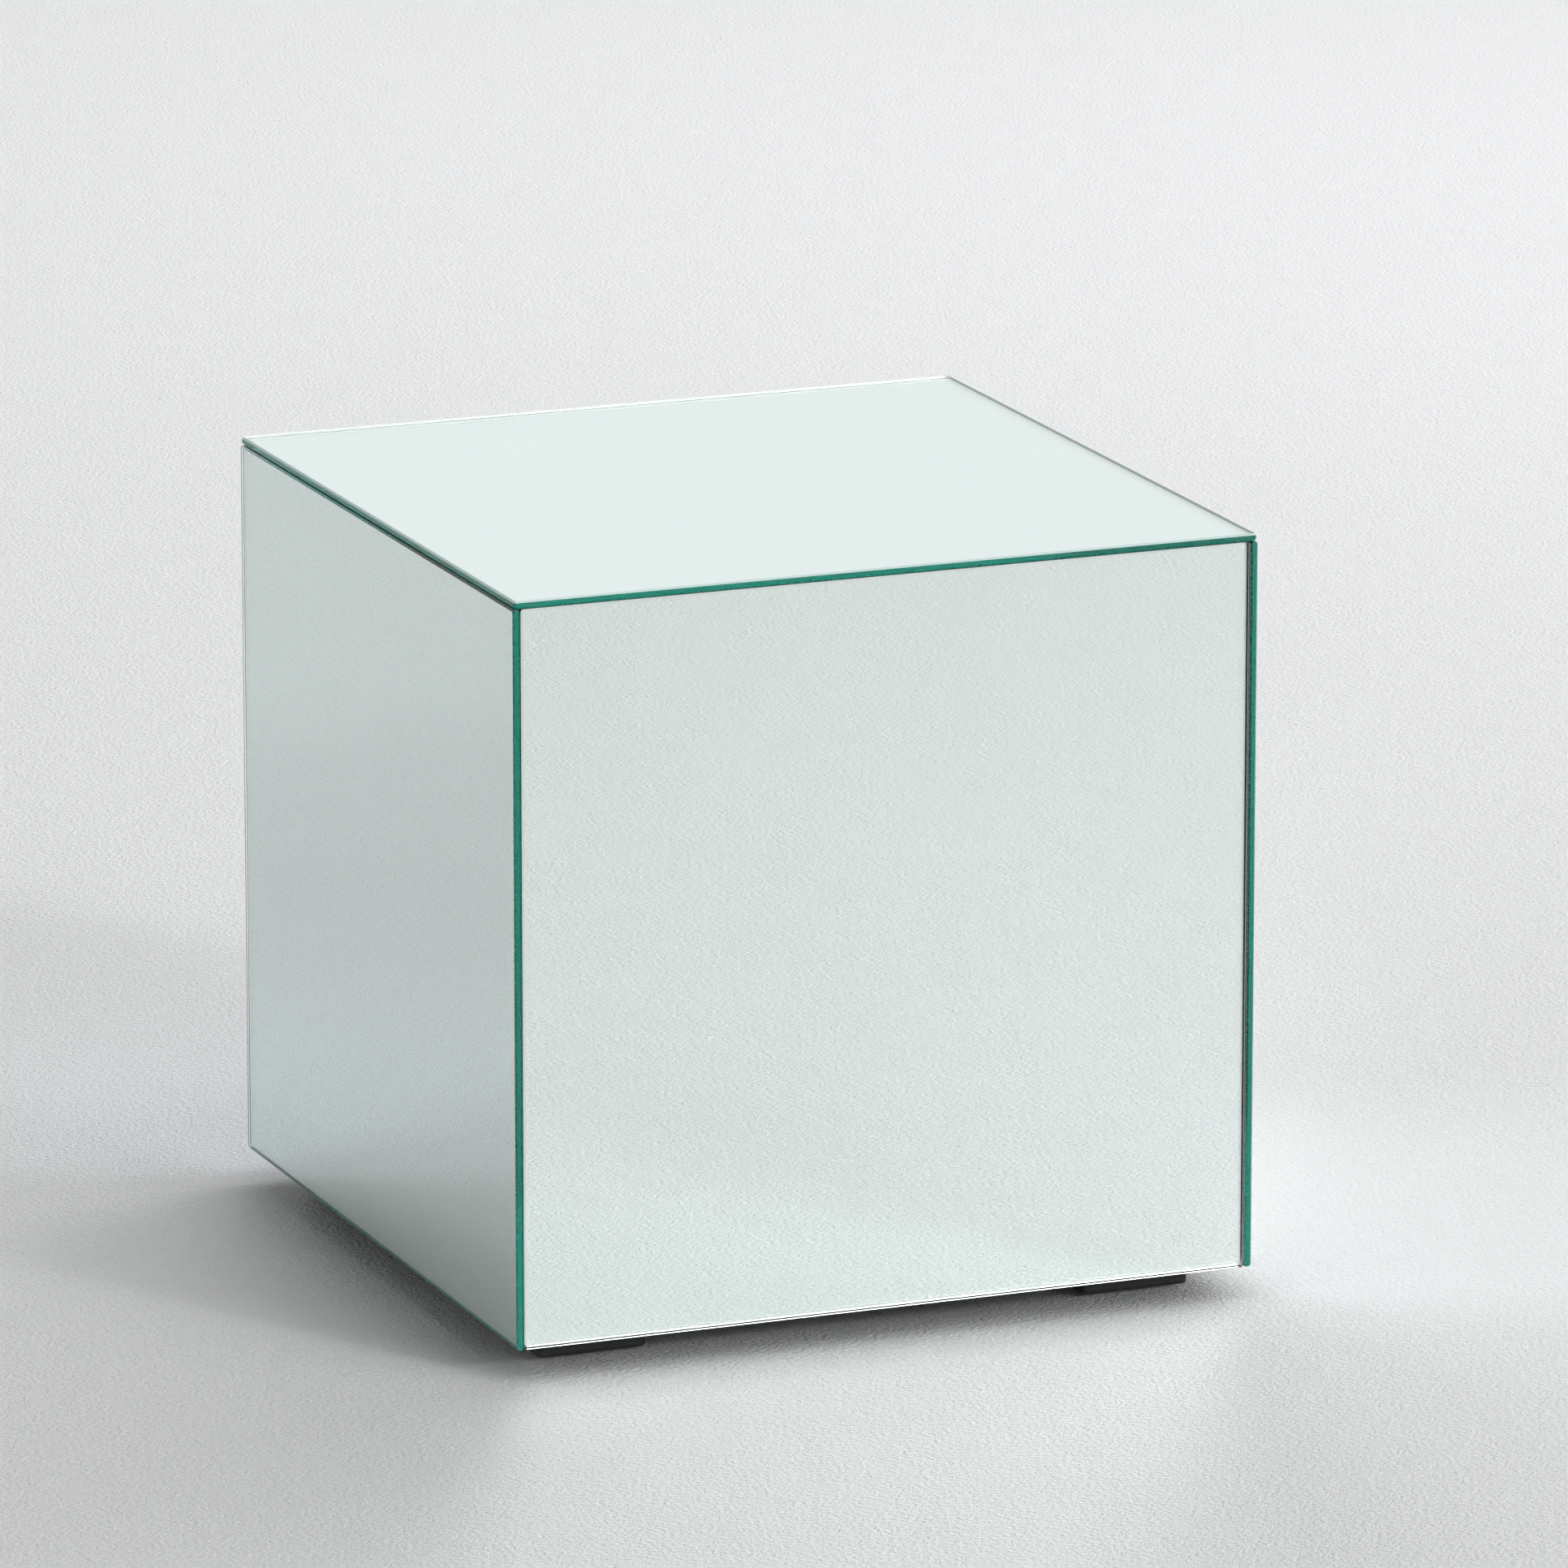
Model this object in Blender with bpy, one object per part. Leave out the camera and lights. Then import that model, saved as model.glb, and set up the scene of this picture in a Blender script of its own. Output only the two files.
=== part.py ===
"""Mirrored cube side table: five silvered glass panels taped to a fibreboard box on four feet.

Metres, +Z up.  The origin is on the floor under the middle of the table; -Y is the front.
"""
import math

import bmesh
import bpy
from mathutils import Matrix, Vector

# Overall size
TABLE_WIDTH = 0.400  # across X, over the side mirrors
TABLE_DEPTH = 0.400  # across Y
TABLE_HEIGHT = 0.400  # floor to the top mirror's face
FLOOR_CLEARANCE = 0.0165  # floor to the lower edges of the mirrors

# Gap left between pieces that touch
FIT_GAP = 0.0003

# Silvered glass panels
GLASS_THICKNESS = 0.004
GLASS_ARRIS = 0.0009  # narrow chamfer ground along every edge
GLASS_CORNER_RADIUS = 0.0015  # dubbed corners of every panel
TOP_MIRROR_INSET = 0.0007  # side of the top panel to the outer face of a side panel

# Double-sided foam tape between the glass and the box
TAPE_THICKNESS = 0.001
TAPE_WIDTH = 0.025
TAPE_INSET = 0.050  # middle of a strip to the edge of its board
TAPE_END_MARGIN = 0.020  # end of a strip to the edge of its board

# Fibreboard box
BOARD_THICKNESS = 0.012
BOX_SETBACK = 0.001  # underside of the box above the mirrors' lower edges
CORNER_BLOCK_SIDE = 0.022

# Feet, with a felt pad under each
FOOT_SIDE = 0.058
FOOT_INSET_X = 0.0225  # side of the table to the side of a foot
FOOT_INSET_Y = 0.0295  # front of the table to the front of a foot
FOOT_EDGE_RADIUS = 0.002
PAD_DIAMETER = 0.030
PAD_THICKNESS = 0.0015

# Countersunk screws
SHANK_DIAMETER = 0.004
HEAD_DIAMETER = 0.008
HEAD_RIM = 0.0005  # straight rim of the head above its cone
SCREW_POINT = 0.004  # length of the tapered tip
RECESS_SPAN = 0.0046  # tip to tip of the cross recess
RECESS_SLOT = 0.0011  # width of each arm of the recess
RECESS_DEPTH = 0.0016
SCREW_TIP_COVER = 0.002  # board left over the tip of a foot screw
FOOT_COUNTERBORE = 0.004  # depth of a screw head inside its foot
FOOT_SCREW_OFFSET = 0.018  # screw to the middle of its foot, along X and along Y
BASE_SCREW_GRIP = 0.028  # length of a base screw inside its wall

# Beech dowels between the walls and the top board
DOWEL_DIAMETER = 0.006
DOWEL_CHAMFER = 0.0007
DOWEL_DEPTH_IN_WALL = 0.020
DOWEL_COVER = 0.003  # board left over the end of a dowel

# Dowels and base screws stand in pairs in each wall
FASTENER_END_DISTANCE = 0.060  # fastener to the end of its wall

# Facets
ROUND_SIDES = 16
PAD_SIDES = 40
CORNER_SEGMENTS = 3
SMOOTH_ANGLE = math.radians(35)
CUT_OVERSHOOT = 0.006  # how far a drilled hole starts outside its face
WELD_DISTANCE = 0.00001

# Heights that follow from the sizes above
MIRROR_BOTTOM = FLOOR_CLEARANCE
TOP_MIRROR_BOTTOM = TABLE_HEIGHT - GLASS_THICKNESS
SKIN_THICKNESS = GLASS_THICKNESS + TAPE_THICKNESS + 2 * FIT_GAP  # box face to outer glass face
BOX_BOTTOM = MIRROR_BOTTOM + BOX_SETBACK
BOX_TOP = TABLE_HEIGHT - SKIN_THICKNESS
WALL_BOTTOM = BOX_BOTTOM + BOARD_THICKNESS + FIT_GAP
WALL_TOP = BOX_TOP - BOARD_THICKNESS - FIT_GAP
FOOT_BOTTOM = PAD_THICKNESS + FIT_GAP
FOOT_TOP = BOX_BOTTOM - FIT_GAP

# Half sizes seen from above
HALF_WIDTH = TABLE_WIDTH / 2
HALF_DEPTH = TABLE_DEPTH / 2
BOX_HALF_WIDTH = HALF_WIDTH - SKIN_THICKNESS
BOX_HALF_DEPTH = HALF_DEPTH - SKIN_THICKNESS
INNER_HALF_WIDTH = BOX_HALF_WIDTH - BOARD_THICKNESS
INNER_HALF_DEPTH = BOX_HALF_DEPTH - BOARD_THICKNESS
CROSS_WALL_HALF_LENGTH = INNER_HALF_WIDTH - FIT_GAP  # front and back walls stand between the sides

# Middle of the walls' thickness, where their fasteners stand
SIDE_WALL_LINE = BOX_HALF_WIDTH - BOARD_THICKNESS / 2
CROSS_WALL_LINE = BOX_HALF_DEPTH - BOARD_THICKNESS / 2
SIDE_WALL_FASTENER_Y = BOX_HALF_DEPTH - FASTENER_END_DISTANCE
CROSS_WALL_FASTENER_X = CROSS_WALL_HALF_LENGTH - FASTENER_END_DISTANCE

# Fastener lengths
FOOT_SCREW_HEAD_Z = FOOT_BOTTOM + FOOT_COUNTERBORE
FOOT_SCREW_LENGTH = BOX_BOTTOM + BOARD_THICKNESS - SCREW_TIP_COVER - FOOT_SCREW_HEAD_Z
BASE_SCREW_LENGTH = BOARD_THICKNESS + FIT_GAP + BASE_SCREW_GRIP
DOWEL_BOTTOM = WALL_TOP - DOWEL_DEPTH_IN_WALL
DOWEL_LENGTH = BOX_TOP - DOWEL_COVER - DOWEL_BOTTOM

SIDES = {"left": -1, "right": 1}
ENDS = {"front": -1, "back": 1}


def clear_scene():
    for old_object in list(bpy.data.objects):
        bpy.data.objects.remove(old_object, do_unlink=True)


def make_finish(name, colour, roughness, metallic=0.0):
    finish = bpy.data.materials.new(name)
    finish.use_nodes = True
    shader = finish.node_tree.nodes["Principled BSDF"]
    shader.inputs["Base Color"].default_value = (*colour, 1.0)
    shader.inputs["Roughness"].default_value = roughness
    shader.inputs["Metallic"].default_value = metallic
    return finish


def make_finishes():
    return {
        "silvered_glass": make_finish("silvered_glass", (0.80, 0.86, 0.83), 0.03, metallic=1.0),
        "fibreboard": make_finish("fibreboard", (0.46, 0.33, 0.21), 0.80),
        "black_paint": make_finish("black_paint", (0.018, 0.018, 0.017), 0.55),
        "pine": make_finish("pine", (0.66, 0.48, 0.28), 0.65),
        "beech": make_finish("beech", (0.62, 0.42, 0.25), 0.60),
        "foam_tape": make_finish("foam_tape", (0.75, 0.75, 0.72), 0.90),
        "foot_plastic": make_finish("foot_plastic", (0.022, 0.022, 0.021), 0.42),
        "zinc_steel": make_finish("zinc_steel", (0.62, 0.62, 0.60), 0.30, metallic=1.0),
        "felt": make_finish("felt", (0.045, 0.042, 0.040), 1.0),
    }


def add_object(name, mesh, location, finish=None):
    piece = bpy.data.objects.new(name, mesh)
    piece.location = location
    bpy.context.scene.collection.objects.link(piece)
    if finish is not None and not mesh.materials:
        mesh.materials.append(finish)
    return piece


def finish_mesh(name, builder):
    bmesh.ops.recalc_face_normals(builder, faces=builder.faces[:])
    mesh = bpy.data.meshes.new(name)
    builder.to_mesh(mesh)
    builder.free()
    return mesh


def block_mesh(name, size, corner_radius=0.0):
    """A box about its own centre; corner_radius rounds the four edges along its thinnest way."""
    builder = bmesh.new()
    bmesh.ops.create_cube(builder, size=1.0, matrix=Matrix.Diagonal((*size, 1.0)))
    if corner_radius > 0.0:
        thickness = min(size)
        corners = [edge for edge in builder.edges if edge.calc_length() < thickness + WELD_DISTANCE]
        bmesh.ops.bevel(
            builder,
            geom=corners,
            offset=corner_radius,
            segments=CORNER_SEGMENTS,
            profile=0.5,
            affect="EDGES",
        )
    return finish_mesh(name, builder)


def add_block(name, low, high, finish, corner_radius=0.0):
    low = Vector(low)
    high = Vector(high)
    mesh = block_mesh(name, high - low, corner_radius)
    return add_object(name, mesh, (low + high) / 2, finish)


def add_glass(name, low, high, finish):
    panel = add_block(name, low, high, finish, GLASS_CORNER_RADIUS)
    chamfer_edges(panel, GLASS_ARRIS)


def chamfer_edges(piece, width, segments=1):
    bevel = piece.modifiers.new("edges", "BEVEL")
    bevel.width = width
    bevel.segments = segments
    bevel.limit_method = "ANGLE"
    bevel.angle_limit = math.radians(50)


def spin_outline(builder, outline, centre, sides):
    """Turn an outline of (radius, height) points about an upright line through centre."""
    points = [builder.verts.new(centre + Vector((radius, 0.0, height))) for radius, height in outline]
    edges = [builder.edges.new(pair) for pair in zip(points, points[1:])]
    bmesh.ops.spin(
        builder,
        geom=points + edges,
        cent=centre,
        axis=(0.0, 0.0, 1.0),
        angle=2 * math.pi,
        steps=sides,
        use_merge=True,
    )
    bmesh.ops.remove_doubles(builder, verts=builder.verts[:], dist=WELD_DISTANCE)


def turned_mesh(name, outline, sides):
    builder = bmesh.new()
    spin_outline(builder, outline, Vector((0.0, 0.0, 0.0)), sides)
    mesh = finish_mesh(name, builder)
    mesh.shade_smooth()
    mesh.set_sharp_from_angle(angle=SMOOTH_ANGLE)
    return mesh


def cut(piece, cutter):
    boolean = piece.modifiers.new("holes", "BOOLEAN")
    boolean.operation = "DIFFERENCE"
    boolean.solver = "EXACT"
    boolean.object = cutter


def hide_cutter(cutter):
    cutter.hide_render = True
    cutter.display_type = "WIRE"


def screw_outline(length, clearance=0.0, lead_in=0.0):
    """Profile of a screw with its head down at height 0 and its tip up at length."""
    head = HEAD_DIAMETER / 2 + clearance
    shank = SHANK_DIAMETER / 2 + clearance
    cone_top = HEAD_RIM + (HEAD_DIAMETER - SHANK_DIAMETER) / 2
    return [
        (0.0, -lead_in),
        (head, -lead_in),
        (head, HEAD_RIM),
        (shank, cone_top),
        (shank, length - SCREW_POINT),
        (0.0, length + clearance * 2),
    ]


def dowel_outline(clearance=0.0):
    radius = DOWEL_DIAMETER / 2 + clearance
    chamfer = DOWEL_CHAMFER
    return [
        (0.0, -clearance),
        (radius - chamfer, -clearance),
        (radius, chamfer - clearance),
        (radius, DOWEL_LENGTH - chamfer + clearance),
        (radius - chamfer, DOWEL_LENGTH + clearance),
        (0.0, DOWEL_LENGTH + clearance),
    ]


def recess_cutter(name):
    """A plus-shaped punch that leaves the cross recess in the underside of a screw head."""
    arm = RECESS_SPAN / 2
    slot = RECESS_SLOT / 2
    corner = [(arm, -slot), (arm, slot), (slot, slot)]
    builder = bmesh.new()
    points = []
    for quarter in range(4):
        turn = Matrix.Rotation(quarter * math.pi / 2, 4, "Z")
        for x, y in corner:
            points.append(builder.verts.new(turn @ Vector((x, y, -RECESS_DEPTH))))
    punch = builder.faces.new(points)
    pushed = bmesh.ops.extrude_face_region(builder, geom=[punch])
    moved = [item for item in pushed["geom"] if isinstance(item, bmesh.types.BMVert)]
    bmesh.ops.translate(builder, verts=moved, vec=(0.0, 0.0, 2 * RECESS_DEPTH))
    cutter = add_object(name, finish_mesh(name, builder), (0.0, 0.0, 0.0))
    hide_cutter(cutter)
    return cutter


def screw_mesh(name, length, finish):
    """One screw with its cross recess, kept as a mesh that every screw of this kind shares."""
    blank = add_object(name + "_blank", turned_mesh(name, screw_outline(length), ROUND_SIDES), (0.0, 0.0, 0.0))
    punch = recess_cutter(name + "_punch")
    cut(blank, punch)
    evaluated = blank.evaluated_get(bpy.context.evaluated_depsgraph_get())
    mesh = bpy.data.meshes.new_from_object(evaluated)
    mesh.name = name
    mesh.materials.clear()
    mesh.materials.append(finish)
    bpy.data.objects.remove(blank, do_unlink=True)
    bpy.data.objects.remove(punch, do_unlink=True)
    return mesh


def foot_centre(side, end):
    x = side * (HALF_WIDTH - FOOT_INSET_X - FOOT_SIDE / 2)
    y = end * (HALF_DEPTH - FOOT_INSET_Y - FOOT_SIDE / 2)
    return x, y


def foot_screw_places():
    """Two screws to a foot: one towards the table's corner and one towards its middle."""
    places = {}
    for end_name, end in ENDS.items():
        for side_name, side in SIDES.items():
            x, y = foot_centre(side, end)
            for position, reach in (("outer", 1), ("inner", -1)):
                name = f"foot_screw_{end_name}_{side_name}_{position}"
                step = reach * FOOT_SCREW_OFFSET
                places[name] = Vector((x + side * step, y + end * step, FOOT_SCREW_HEAD_Z))
    return places


def wall_fastener_places(kind, height):
    """Two fasteners to a wall, in the middle of its thickness."""
    places = {}
    for end_name, end in ENDS.items():
        for side_name, side in SIDES.items():
            across = Vector((side * CROSS_WALL_FASTENER_X, end * CROSS_WALL_LINE, height))
            along = Vector((side * SIDE_WALL_LINE, end * SIDE_WALL_FASTENER_Y, height))
            places[f"{kind}_{end_name}_wall_{side_name}"] = across
            places[f"{kind}_{side_name}_wall_{end_name}"] = along
    return places


def add_fastener_holes(foot_screws, base_screws, dowels):
    """Every screw and dowel hole as one cutter, shared by all the pieces that it passes through."""
    builder = bmesh.new()
    foot_hole = screw_outline(FOOT_SCREW_LENGTH, FIT_GAP, CUT_OVERSHOOT)
    base_hole = screw_outline(BASE_SCREW_LENGTH, FIT_GAP, BOX_SETBACK)
    dowel_hole = dowel_outline(FIT_GAP)
    for outline, places in ((foot_hole, foot_screws), (base_hole, base_screws), (dowel_hole, dowels)):
        for place in places.values():
            spin_outline(builder, outline, place, ROUND_SIDES)
    holes = add_object("fastener_holes", finish_mesh("fastener_holes", builder), (0.0, 0.0, 0.0))
    hide_cutter(holes)
    return holes


def add_top_mirror(finish):
    half_length = HALF_WIDTH - TOP_MIRROR_INSET
    low = (-half_length, -HALF_DEPTH, TOP_MIRROR_BOTTOM)
    high = (half_length, HALF_DEPTH, TABLE_HEIGHT)
    add_glass("top_mirror", low, high, finish)


def add_side_mirrors(finish):
    """The left and right mirrors run the full depth and cover the ends of the other two."""
    for side_name, side in SIDES.items():
        outer = side * HALF_WIDTH
        inner = side * (HALF_WIDTH - GLASS_THICKNESS)
        low = (min(outer, inner), -HALF_DEPTH, MIRROR_BOTTOM)
        high = (max(outer, inner), HALF_DEPTH, TOP_MIRROR_BOTTOM - FIT_GAP)
        add_glass(f"{side_name}_mirror", low, high, finish)


def add_cross_mirrors(finish):
    """The front and back mirrors stand between the side mirrors."""
    half_length = HALF_WIDTH - GLASS_THICKNESS - FIT_GAP
    for end_name, end in ENDS.items():
        outer = end * HALF_DEPTH
        inner = end * (HALF_DEPTH - GLASS_THICKNESS)
        low = (-half_length, min(outer, inner), MIRROR_BOTTOM)
        high = (half_length, max(outer, inner), TOP_MIRROR_BOTTOM - FIT_GAP)
        add_glass(f"{end_name}_mirror", low, high, finish)


def add_tapes(finish):
    """Two upright strips behind each side panel and two strips under the top panel."""
    face_to_tape = GLASS_THICKNESS + FIT_GAP
    low_z = BOX_BOTTOM + TAPE_END_MARGIN
    high_z = BOX_TOP - TAPE_END_MARGIN
    half = TAPE_WIDTH / 2
    for side_name, side in SIDES.items():
        x = side * (BOX_HALF_WIDTH - TAPE_INSET)
        far_x = side * (HALF_WIDTH - face_to_tape)
        near_x = far_x - side * TAPE_THICKNESS
        for end_name, end in ENDS.items():
            y = end * (BOX_HALF_DEPTH - TAPE_INSET)
            far_y = end * (HALF_DEPTH - face_to_tape)
            near_y = far_y - end * TAPE_THICKNESS
            cross_low = (x - half, min(near_y, far_y), low_z)
            cross_high = (x + half, max(near_y, far_y), high_z)
            add_block(f"tape_{end_name}_mirror_{side_name}", cross_low, cross_high, finish)
            side_low = (min(near_x, far_x), y - half, low_z)
            side_high = (max(near_x, far_x), y + half, high_z)
            add_block(f"tape_{side_name}_mirror_{end_name}", side_low, side_high, finish)
        reach = BOX_HALF_DEPTH - TAPE_END_MARGIN
        top_low = (x - half, -reach, BOX_TOP + FIT_GAP)
        top_high = (x + half, reach, BOX_TOP + FIT_GAP + TAPE_THICKNESS)
        add_block(f"tape_top_mirror_{side_name}", top_low, top_high, finish)


def add_base_board(finish, holes):
    low = (-BOX_HALF_WIDTH, -BOX_HALF_DEPTH, BOX_BOTTOM)
    high = (BOX_HALF_WIDTH, BOX_HALF_DEPTH, BOX_BOTTOM + BOARD_THICKNESS)
    cut(add_block("base_board", low, high, finish), holes)


def add_top_board(finish, holes):
    low = (-BOX_HALF_WIDTH, -BOX_HALF_DEPTH, BOX_TOP - BOARD_THICKNESS)
    high = (BOX_HALF_WIDTH, BOX_HALF_DEPTH, BOX_TOP)
    cut(add_block("top_board", low, high, finish), holes)


def add_walls(finish, holes):
    for side_name, side in SIDES.items():
        outer = side * BOX_HALF_WIDTH
        inner = side * INNER_HALF_WIDTH
        low = (min(outer, inner), -BOX_HALF_DEPTH, WALL_BOTTOM)
        high = (max(outer, inner), BOX_HALF_DEPTH, WALL_TOP)
        cut(add_block(f"{side_name}_wall", low, high, finish), holes)
    for end_name, end in ENDS.items():
        outer = end * BOX_HALF_DEPTH
        inner = end * INNER_HALF_DEPTH
        low = (-CROSS_WALL_HALF_LENGTH, min(outer, inner), WALL_BOTTOM)
        high = (CROSS_WALL_HALF_LENGTH, max(outer, inner), WALL_TOP)
        cut(add_block(f"{end_name}_wall", low, high, finish), holes)


def add_corner_blocks(finish):
    """An upright glue block in each inner corner of the box."""
    for end_name, end in ENDS.items():
        for side_name, side in SIDES.items():
            far_x = side * (INNER_HALF_WIDTH - FIT_GAP)
            far_y = end * (INNER_HALF_DEPTH - FIT_GAP)
            near_x = far_x - side * CORNER_BLOCK_SIDE
            near_y = far_y - end * CORNER_BLOCK_SIDE
            low = (min(near_x, far_x), min(near_y, far_y), WALL_BOTTOM)
            high = (max(near_x, far_x), max(near_y, far_y), WALL_TOP)
            add_block(f"corner_block_{end_name}_{side_name}", low, high, finish)


def add_feet(finish, holes):
    for end_name, end in ENDS.items():
        for side_name, side in SIDES.items():
            x, y = foot_centre(side, end)
            half = FOOT_SIDE / 2
            low = (x - half, y - half, FOOT_BOTTOM)
            high = (x + half, y + half, FOOT_TOP)
            foot = add_block(f"foot_{end_name}_{side_name}", low, high, finish)
            chamfer_edges(foot, FOOT_EDGE_RADIUS, CORNER_SEGMENTS)
            cut(foot, holes)


def add_pads(finish):
    radius = PAD_DIAMETER / 2
    outline = [(0.0, 0.0), (radius, 0.0), (radius, PAD_THICKNESS), (0.0, PAD_THICKNESS)]
    mesh = turned_mesh("felt_pad", outline, PAD_SIDES)
    for end_name, end in ENDS.items():
        for side_name, side in SIDES.items():
            x, y = foot_centre(side, end)
            add_object(f"felt_pad_{end_name}_{side_name}", mesh, (x, y, 0.0), finish)


def add_copies(mesh, places, finish=None):
    for name, place in places.items():
        add_object(name, mesh, place, finish)


def build_table():
    clear_scene()
    finishes = make_finishes()
    foot_screws = foot_screw_places()
    base_screws = wall_fastener_places("base_screw", BOX_BOTTOM)
    dowels = wall_fastener_places("dowel", DOWEL_BOTTOM)
    holes = add_fastener_holes(foot_screws, base_screws, dowels)

    add_top_mirror(finishes["silvered_glass"])
    add_side_mirrors(finishes["silvered_glass"])
    add_cross_mirrors(finishes["silvered_glass"])
    add_tapes(finishes["foam_tape"])

    add_top_board(finishes["fibreboard"], holes)
    add_walls(finishes["fibreboard"], holes)
    add_base_board(finishes["black_paint"], holes)
    add_corner_blocks(finishes["pine"])

    add_feet(finishes["foot_plastic"], holes)
    add_pads(finishes["felt"])

    steel = finishes["zinc_steel"]
    add_copies(screw_mesh("foot_screw", FOOT_SCREW_LENGTH, steel), foot_screws)
    add_copies(screw_mesh("base_screw", BASE_SCREW_LENGTH, steel), base_screws)
    add_copies(turned_mesh("dowel", dowel_outline(), ROUND_SIDES), dowels, finishes["beech"])


build_table()
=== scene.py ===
import math

import bmesh
import bpy
from mathutils import Matrix, Vector


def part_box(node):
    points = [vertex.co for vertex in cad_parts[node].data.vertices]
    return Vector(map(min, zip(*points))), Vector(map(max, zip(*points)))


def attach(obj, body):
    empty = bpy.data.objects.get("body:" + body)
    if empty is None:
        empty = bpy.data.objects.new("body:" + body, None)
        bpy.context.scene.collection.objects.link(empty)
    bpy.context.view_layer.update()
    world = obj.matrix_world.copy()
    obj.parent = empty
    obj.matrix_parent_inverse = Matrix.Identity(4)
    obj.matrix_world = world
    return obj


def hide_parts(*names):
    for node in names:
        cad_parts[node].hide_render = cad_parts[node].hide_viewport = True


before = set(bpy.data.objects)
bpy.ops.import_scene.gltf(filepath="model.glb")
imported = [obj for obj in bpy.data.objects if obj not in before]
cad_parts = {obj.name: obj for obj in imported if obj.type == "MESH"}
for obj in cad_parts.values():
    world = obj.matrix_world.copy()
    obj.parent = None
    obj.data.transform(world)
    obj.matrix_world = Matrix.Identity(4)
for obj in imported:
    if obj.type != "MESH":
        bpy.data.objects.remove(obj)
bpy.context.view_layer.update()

millimetre = 0.001
sides = ("left", "right")
ends = ("front", "back")
corners = [(end, side) for end in ends for side in sides]


# ---- small helpers for node trees

def addNode(tree, kind, values=None, **settings):
    node = tree.nodes.new(kind)
    for name, value in settings.items():
        setattr(node, name, value)
    for name, value in (values or {}).items():
        plug(tree, node.inputs[name], value)
    return node


def plug(tree, socket, value):
    if isinstance(value, bpy.types.NodeSocket):
        tree.links.new(value, socket)
    else:
        socket.default_value = value


def calc(tree, operation, first, second=0.0, clamp=False):
    node = addNode(tree, "ShaderNodeMath", operation=operation, use_clamp=clamp)
    plug(tree, node.inputs[0], first)
    plug(tree, node.inputs[1], second)
    return node.outputs[0]


def vectorCalc(tree, operation, first, second=None, scale=None):
    node = addNode(tree, "ShaderNodeVectorMath", operation=operation)
    plug(tree, node.inputs[0], first)
    if second is not None:
        plug(tree, node.inputs[1], second)
    if scale is not None:
        plug(tree, node.inputs["Scale"], scale)
    return node.outputs[0]


def between(tree, value, low, high, newLow=0.0, newHigh=1.0):
    node = addNode(tree, "ShaderNodeMapRange", {
        "Value": value, "From Min": low, "From Max": high, "To Min": newLow, "To Max": newHigh})
    return node.outputs["Result"]


def blendColours(tree, share, first, second, way="MIX"):
    node = addNode(tree, "ShaderNodeMix", data_type="RGBA", blend_type=way)
    plug(tree, node.inputs[0], share)
    plug(tree, node.inputs[6], first)
    plug(tree, node.inputs[7], second)
    return node.outputs[2]


def startFinish(name):
    finish = bpy.data.materials.new(name)
    finish.use_nodes = True
    tree = finish.node_tree
    return finish, tree, tree.nodes["Principled BSDF"]


def ownPlace(tree, scale=(1.0, 1.0, 1.0), turn=(0.0, 0.0, 0.0)):
    place = addNode(tree, "ShaderNodeTexCoord")
    mapping = addNode(tree, "ShaderNodeMapping", {
        "Vector": place.outputs["Object"], "Scale": scale, "Rotation": turn})
    return mapping.outputs["Vector"]


def noiseOf(tree, place, scale, detail=3.0, roughness=0.5, distortion=0.0):
    node = addNode(tree, "ShaderNodeTexNoise", {
        "Vector": place, "Scale": scale, "Detail": detail,
        "Roughness": roughness, "Distortion": distortion})
    return node.outputs["Fac"]


def cellsOf(tree, place, scale, feature="F1"):
    node = addNode(tree, "ShaderNodeTexVoronoi", {"Vector": place, "Scale": scale}, feature=feature)
    return node.outputs["Distance"]


def bumpOf(tree, height, strength, distance, under=None):
    node = addNode(tree, "ShaderNodeBump", {
        "Height": height, "Strength": strength, "Distance": distance})
    if under is not None:
        plug(tree, node.inputs["Normal"], under)
    return node.outputs["Normal"]


def colour(red, green, blue):
    return (red, green, blue, 1.0)


# ---- finishes

glassLook = {
    "absorbed": (15.0, 2.7, 3.5),  # share of red, green and blue lost per metre of glass
    "refraction": 1.52,
    "arrisRoughness": 0.25,
    "edgeRoughness": 0.20,
    "smudgeRoughness": 0.035,
}


def makeGlass():
    finish, tree, shader = startFinish("clearGlass")
    place = ownPlace(tree)
    shader.inputs["Base Color"].default_value = colour(1.0, 1.0, 1.0)
    shader.inputs["Transmission Weight"].default_value = 1.0
    shader.inputs["IOR"].default_value = glassLook["refraction"]
    smear = noiseOf(tree, ownPlace(tree, (3.0, 1.2, 2.0)), 3.0, 4.0, 0.6, 1.5)
    smudge = between(tree, smear, 0.62, 0.80, 0.0, glassLook["smudgeRoughness"])
    ground = addNode(tree, "ShaderNodeAttribute", attribute_name="groundShare").outputs["Fac"]
    grit = noiseOf(tree, place, 2500.0, 2.0)
    rough = glassLook["arrisRoughness"]
    arris = calc(tree, "MULTIPLY", calc(tree, "GREATER_THAN", ground, 0.75),
                 between(tree, grit, 0.2, 0.8, rough * 0.7, rough * 1.3))
    edge = calc(tree, "MULTIPLY", calc(tree, "GREATER_THAN", ground, 0.25), glassLook["edgeRoughness"])
    plug(tree, shader.inputs["Roughness"],
         calc(tree, "MAXIMUM", calc(tree, "MAXIMUM", arris, edge), smudge))
    strongest = max(glassLook["absorbed"]) * 1.02
    tint = colour(*(1.0 - share / strongest for share in glassLook["absorbed"]))
    depth = addNode(tree, "ShaderNodeVolumeAbsorption", {"Color": tint, "Density": strongest})
    tree.links.new(depth.outputs["Volume"], tree.nodes["Material Output"].inputs["Volume"])
    return finish


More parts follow.
